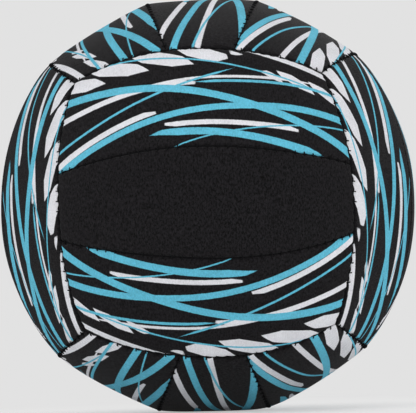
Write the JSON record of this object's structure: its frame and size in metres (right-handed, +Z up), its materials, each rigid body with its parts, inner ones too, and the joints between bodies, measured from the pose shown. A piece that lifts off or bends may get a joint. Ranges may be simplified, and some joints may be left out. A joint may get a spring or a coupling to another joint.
{
  "type": "volleyball",
  "caption": "Soft sewn beach volleyball: foam-rubber panels in crosswise strips on a rounded-cube layout, stitched over an air bladder with a needle valve.",
  "frame": {"origin": "centre of the ball", "axes": "+Y out through the valve, in the middle of the back centre panel; -Y is the front face, whose strips run along X; +X is the right face, whose strips run along Z; +Z is up, the top face, whose strips run along Y"},
  "size_m": [0.207, 0.207, 0.207],
  "materials": {
    "centre_cloth": "matte",
    "outer_cloth": "matte",
    "thread": "satin",
    "bladder_rubber": "satin",
    "valve_rubber": "matte",
    "patch_cloth": "matte"
  },
  "bodies": {
    "root": {"front_centre_panel": "centre_cloth", "front_upper_panel": "outer_cloth", "front_lower_panel": "outer_cloth", "back_centre_panel": "centre_cloth", "back_upper_panel": "outer_cloth", "back_lower_panel": "outer_cloth", "left_centre_panel": "centre_cloth", "left_back_panel": "outer_cloth", "left_front_panel": "outer_cloth", "right_centre_panel": "centre_cloth", "right_back_panel": "outer_cloth", "right_front_panel": "outer_cloth", "top_centre_panel": "centre_cloth", "top_right_panel": "outer_cloth", "top_left_panel": "outer_cloth", "bottom_centre_panel": "centre_cloth", "bottom_right_panel": "outer_cloth", "bottom_left_panel": "outer_cloth", "front_strip_thread": "thread", "back_strip_thread": "thread", "left_strip_thread": "thread", "right_strip_thread": "thread", "top_strip_thread": "thread", "bottom_strip_thread": "thread", "front_edge_thread": "thread", "back_edge_thread": "thread", "left_edge_thread": "thread", "right_edge_thread": "thread", "top_edge_thread": "thread", "bottom_edge_thread": "thread", "bladder": "bladder_rubber", "valve_body": "valve_rubber", "valve_plug": "valve_rubber", "valve_patch": "patch_cloth"}
  },
  "joints": []
}
